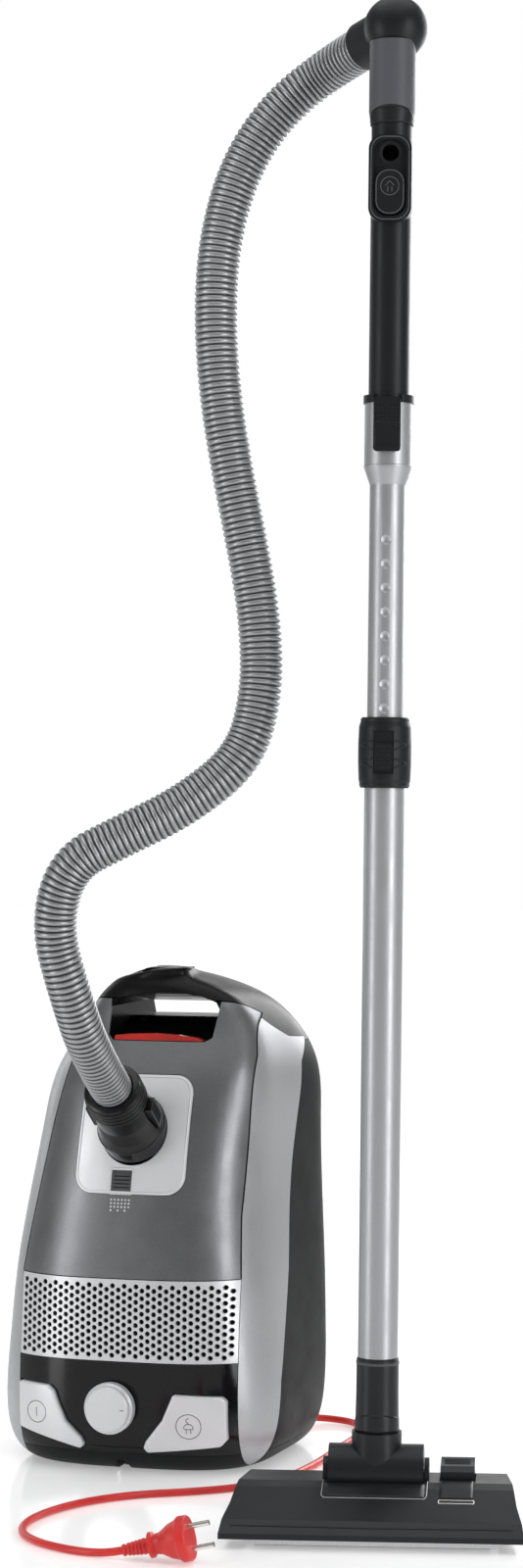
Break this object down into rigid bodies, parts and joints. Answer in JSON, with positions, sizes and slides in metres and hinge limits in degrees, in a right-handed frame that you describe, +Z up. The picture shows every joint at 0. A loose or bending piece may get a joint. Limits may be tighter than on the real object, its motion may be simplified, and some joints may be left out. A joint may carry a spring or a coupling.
{
  "type": "canister vacuum cleaner",
  "caption": "Bagged canister vacuum cleaner parked on its rear end, with ribbed hose, telescopic wand, floor nozzle, red mains cord and round two-pin plug.",
  "frame": {"origin": "on the floor under the centre of the canister's parking base", "axes": "+Z up; the canister's grille and controls face -Y; +X to the right seen from the front, towards the wand"},
  "size_m": [0.5933, 0.6609, 1.3604],
  "materials": {
    "lid_graphite": "metallic lacquer, graphite",
    "trim_silver": "metallic lacquer, silver",
    "plate_silver": "pale silver lacquer",
    "panel_black": "polished",
    "housing_black": "satin, fine grain",
    "grille_silver": "pale silver lacquer",
    "latch_red": "translucent red",
    "window_smoke": "smoked, translucent",
    "seal_rubber": "matt",
    "inner_grey": "moulded",
    "motor_steel": "brushed",
    "filter_foam": "foam",
    "carbon_foam": "charcoal foam",
    "bag_paper": "fleece paper",
    "wheel_rubber": "soft tread",
    "axle_steel": "ground",
    "cord_red": "smooth sheath",
    "plug_red": "moulded",
    "pin_nickel": "nickel plated",
    "hose_silver": "ribbed, metallic silver",
    "cuff_black": "moulded",
    "tube_silver": "satin lacquer",
    "handle_anthracite": "fine grain",
    "neck_grey": "satin",
    "nozzle_black": "satin",
    "bristle": "nylon bristle",
    "sole_steel": "brushed"
  },
  "bodies": {
    "canister": {"base_bumper": "housing_black", "lower_housing": "housing_black", "side_trim_left": "trim_silver", "side_trim_right": "trim_silver", "control_panel": "panel_black", "exhaust_grille": "grille_silver", "carry_handle": "panel_black", "bulkhead": "inner_grey", "motor_housing": "inner_grey", "motor": "motor_steel", "motor_filter": "filter_foam", "exhaust_filter": "carbon_foam", "reel_axle": "axle_steel", "bag_holder": "inner_grey", "dust_bag": "bag_paper", "wheel_axle": "axle_steel", "cord_outlet": "seal_rubber", "mains_cord": "cord_red", "plug_body": "plug_red", "plug_pins": "pin_nickel", "hose_1": "hose_silver", "nozzle_cover": "nozzle_black", "nozzle_sole": "sole_steel", "tilt_pin": "axle_steel"},
    "lid": {"dust_lid": "lid_graphite", "inlet_plate": "plate_silver", "bag_window": "window_smoke", "lid_seal_frame": "seal_rubber", "hose_cuff": "cuff_black"},
    "lid_latch": {"lid_latch": "latch_red"},
    "power_pedal": {"power_pedal": "plate_silver"},
    "rewind_pedal": {"rewind_pedal": "plate_silver"},
    "power_knob": {"power_knob": "plate_silver"},
    "cuff_button_left": {"cuff_button_left": "cuff_black"},
    "cuff_button_right": {"cuff_button_right": "cuff_black"},
    "motor_fan": {"motor_fan": "inner_grey"},
    "cord_reel": {"cord_reel": "inner_grey", "reel_cord": "cord_red"},
    "wheel_left": {"wheel_left": "wheel_rubber"},
    "wheel_right": {"wheel_right": "wheel_rubber"},
    "caster_fork": {"caster_fork": "inner_grey"},
    "caster_wheel": {"caster_wheel": "wheel_rubber"},
    "nozzle_barrel": {"nozzle_barrel": "nozzle_black", "hose_2": "hose_silver"},
    "lower_wand": {"nozzle_neck": "nozzle_black", "lower_tube": "tube_silver", "telescope_collar": "handle_anthracite", "hose_3": "hose_silver"},
    "collar_slider": {"collar_slider": "handle_anthracite"},
    "upper_wand": {"upper_tube": "tube_silver", "socket_flange": "handle_anthracite", "handle_grip": "handle_anthracite", "handle_neck": "neck_grey", "hose_ball": "handle_anthracite", "hose_4": "hose_silver"},
    "tube_release": {"tube_release": "handle_anthracite"},
    "suction_slider": {"suction_slider": "handle_anthracite"},
    "nozzle_pedal": {"nozzle_pedal": "nozzle_black"},
    "brush_strips": {"brush_strips": "bristle"},
    "nozzle_rollers": {"nozzle_rollers": "wheel_rubber"}
  },
  "joints": [
    {"name": "lid_hinge", "type": "hinge", "parent": "canister", "child": "lid", "pos_m": [0, -0.1135, 0.1875], "axis": [1, 0, 0], "range_deg": [0, 70], "deforming": ["hose_1"]},
    {"name": "lid_latch_slide", "type": "slide", "parent": "lid", "child": "lid_latch", "axis": [0, 0, 1], "range_m": [0, 0.003], "stiffness_N_per_m": 600, "springref_m": -0.003},
    {"name": "power_pedal_hinge", "type": "hinge", "parent": "canister", "child": "power_pedal", "pos_m": [-0.089, -0.1015, 0.046], "axis": [-1, 0, 0], "range_deg": [0, 4], "stiffness_Nm_per_rad": 4, "springref_deg": -2.86},
    {"name": "rewind_pedal_hinge", "type": "hinge", "parent": "canister", "child": "rewind_pedal", "pos_m": [0.062, -0.1015, 0.04], "axis": [-1, 0, 0], "range_deg": [0, 4], "stiffness_Nm_per_rad": 4, "springref_deg": -2.86},
    {"name": "power_knob_hinge", "type": "hinge", "parent": "canister", "child": "power_knob", "pos_m": [-0.017, -0.1065, 0.064], "axis": [0, 1, 0], "range_deg": [-150, 120]},
    {"name": "cuff_button_left_slide", "type": "slide", "parent": "lid", "child": "cuff_button_left", "axis": [1, 0, 0], "range_m": [0, 0.0015], "stiffness_N_per_m": 800, "springref_m": -0.002},
    {"name": "cuff_button_right_slide", "type": "slide", "parent": "lid", "child": "cuff_button_right", "axis": [-1, 0, 0], "range_m": [0, 0.0015], "stiffness_N_per_m": 800, "springref_m": -0.002},
    {"name": "motor_fan_spin", "type": "hinge", "parent": "canister", "child": "motor_fan", "pos_m": [-0.062, -0.026, 0.09], "axis": [0, 0, 1], "continuous": true},
    {"name": "cord_reel_spin", "type": "hinge", "parent": "canister", "child": "cord_reel", "pos_m": [0.043, 0.015, 0.096], "axis": [1, 0, 0], "continuous": true},
    {"name": "wheel_left_spin", "type": "hinge", "parent": "canister", "child": "wheel_left", "pos_m": [-0.114, 0.097, 0.088], "axis": [1, 0, 0], "continuous": true},
    {"name": "wheel_right_spin", "type": "hinge", "parent": "canister", "child": "wheel_right", "pos_m": [0.094, 0.097, 0.088], "axis": [1, 0, 0], "continuous": true},
    {"name": "caster_swivel", "type": "hinge", "parent": "canister", "child": "caster_fork", "pos_m": [0, 0.11, 0.372], "axis": [0, 1, 0], "continuous": true},
    {"name": "caster_spin", "type": "hinge", "parent": "caster_fork", "child": "caster_wheel", "pos_m": [0, 0.146, 0.358], "axis": [1, 0, 0], "continuous": true},
    {"name": "nozzle_tilt", "type": "hinge", "parent": "canister", "child": "nozzle_barrel", "pos_m": [0.286, -0.268, 0.051], "axis": [-0.9781, -0.2079, 0], "range_deg": [0, 75], "deforming": ["hose_2"]},
    {"name": "nozzle_swivel", "type": "hinge", "parent": "nozzle_barrel", "child": "lower_wand", "pos_m": [0.28655, -0.26788, 0.1], "axis": [0.0113, 0.0024, 0.9999], "range_deg": [-90, 90], "deforming": ["hose_3"]},
    {"name": "collar_slider_slide", "type": "slide", "parent": "lower_wand", "child": "collar_slider", "axis": [0.0113, 0.0024, 0.9999], "range_m": [0, 0.008], "stiffness_N_per_m": 300, "springref_m": -0.002},
    {"name": "telescope_slide", "type": "slide", "parent": "lower_wand", "child": "upper_wand", "axis": [0.0113, 0.0024, 0.9999], "range_m": [-0.17, 0], "deforming": ["hose_4"]},
    {"name": "tube_release_slide", "type": "slide", "parent": "upper_wand", "child": "tube_release", "axis": [-0.2079, 0.9781, 0], "range_m": [0, 0.0015], "stiffness_N_per_m": 800, "springref_m": -0.002},
    {"name": "suction_slide", "type": "slide", "parent": "upper_wand", "child": "suction_slider", "axis": [0.0113, 0.0024, 0.9999], "range_m": [0, 0.02]},
    {"name": "nozzle_pedal_hinge", "type": "hinge", "parent": "canister", "child": "nozzle_pedal", "pos_m": [0.35518, -0.24716, 0.039], "axis": [0.9781, 0.2079, 0], "range_deg": [-10, 0]},
    {"name": "brush_slide", "type": "slide", "parent": "canister", "child": "brush_strips", "axis": [0, 0, 1], "range_m": [0, 0.006]},
    {"name": "nozzle_roller_spin", "type": "hinge", "parent": "canister", "child": "nozzle_rollers", "pos_m": [0.28059, -0.24257, 0.011], "axis": [0.9781, 0.2079, 0], "continuous": true}
  ],
  "couplings": [
    {"joint": "nozzle_pedal_hinge", "follows": "brush_slide", "rad_per_m": -29.089}
  ]
}
